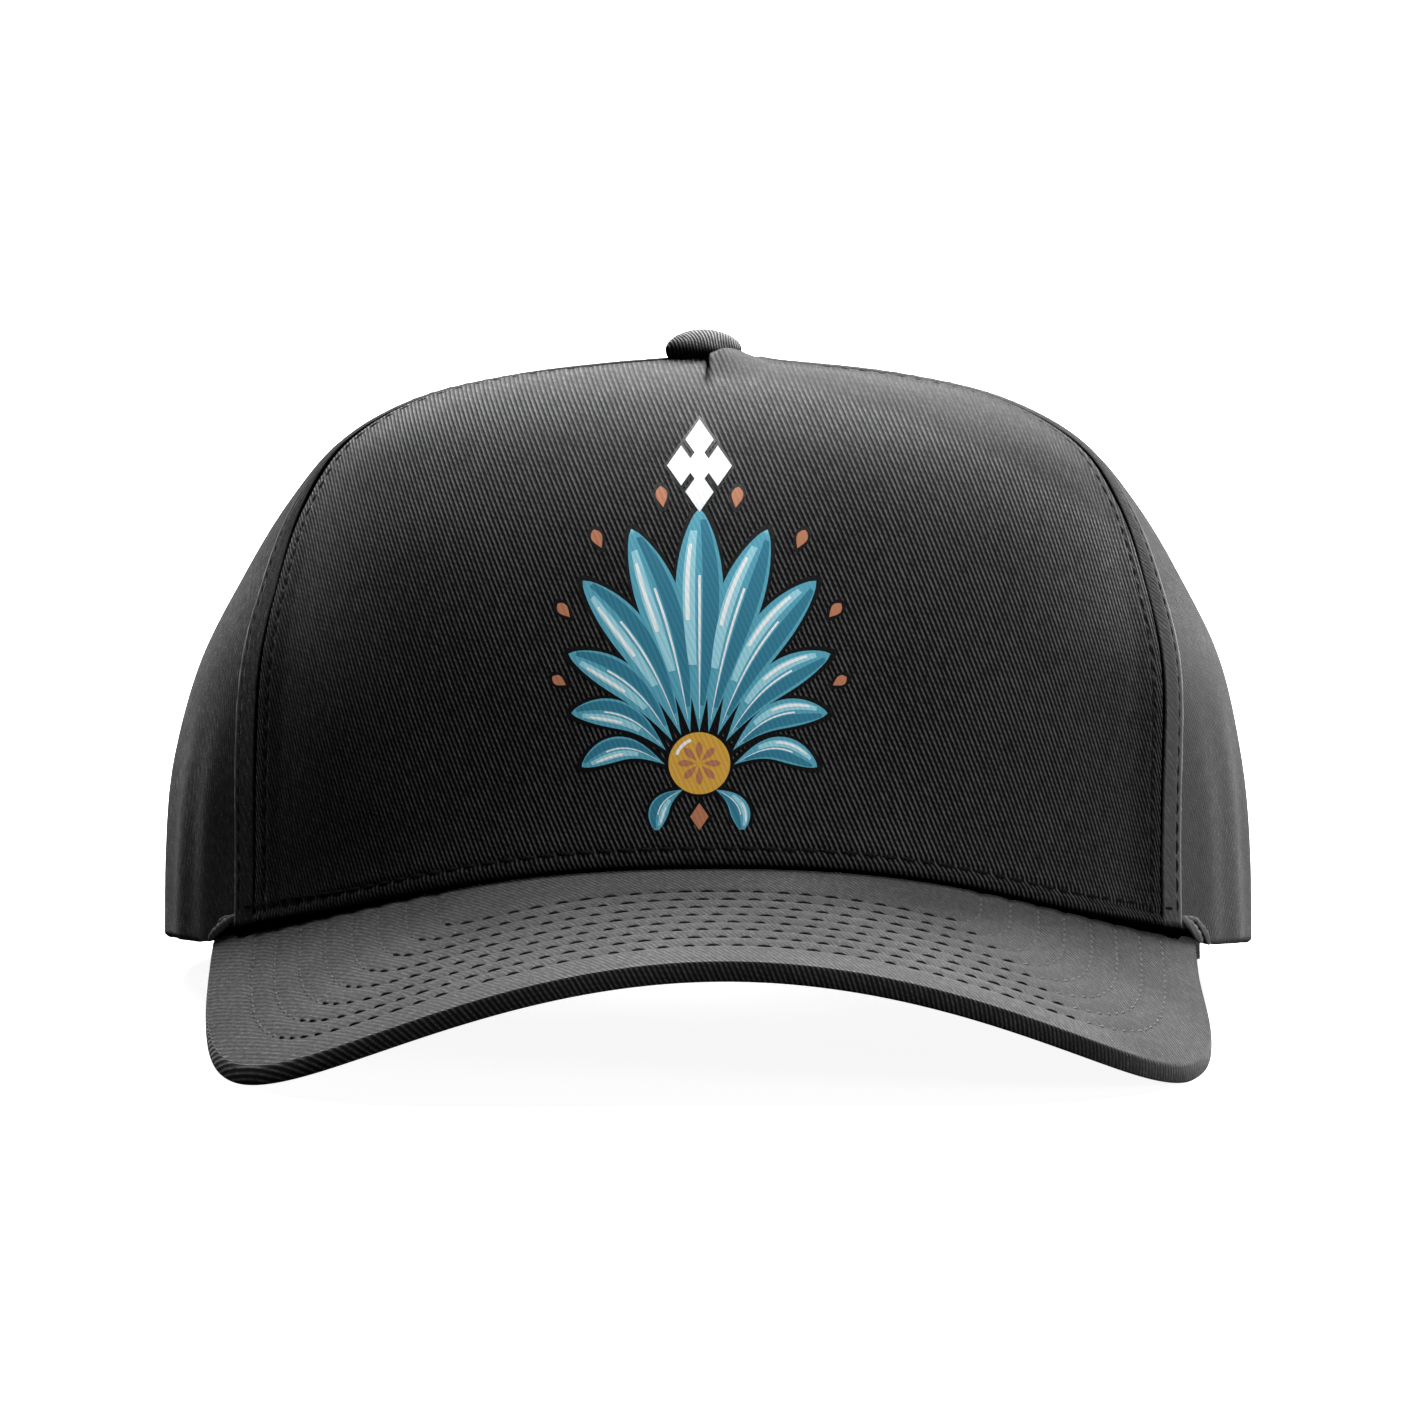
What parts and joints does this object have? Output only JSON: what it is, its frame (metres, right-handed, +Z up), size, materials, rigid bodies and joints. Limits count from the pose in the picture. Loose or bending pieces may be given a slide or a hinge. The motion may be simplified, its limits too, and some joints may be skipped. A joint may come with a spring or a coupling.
{
  "type": "baseball cap",
  "caption": "Rounded cloth cap with one broad front panel, a curved stitched bill, a covered top button and a strap across an arched opening at the back.",
  "frame": {"origin": "centre of the bounding box on the plane of the table that the cap rests on", "axes": "+Z up, -Y forward over the bill, +X towards the wearer's left, which is the right of the cap as seen from the front"},
  "size_m": [0.1852, 0.2623, 0.1106],
  "materials": {
    "crown_twill": "matt cotton twill with a soft sheen",
    "bill_twill": "matt cotton twill over a stiff board, stitched in rows",
    "button_twill": "matt cotton twill over a metal button",
    "sweatband_cloth": "matt woven cotton",
    "strap_webbing": "matt woven webbing"
  },
  "bodies": {
    "root": {"front_panel": "crown_twill", "side_panel_left": "crown_twill", "side_panel_right": "crown_twill", "back_panel_left": "crown_twill", "back_panel_right": "crown_twill", "bill": "bill_twill", "button": "button_twill", "sweatband": "sweatband_cloth", "closure_strap": "strap_webbing"}
  },
  "joints": []
}
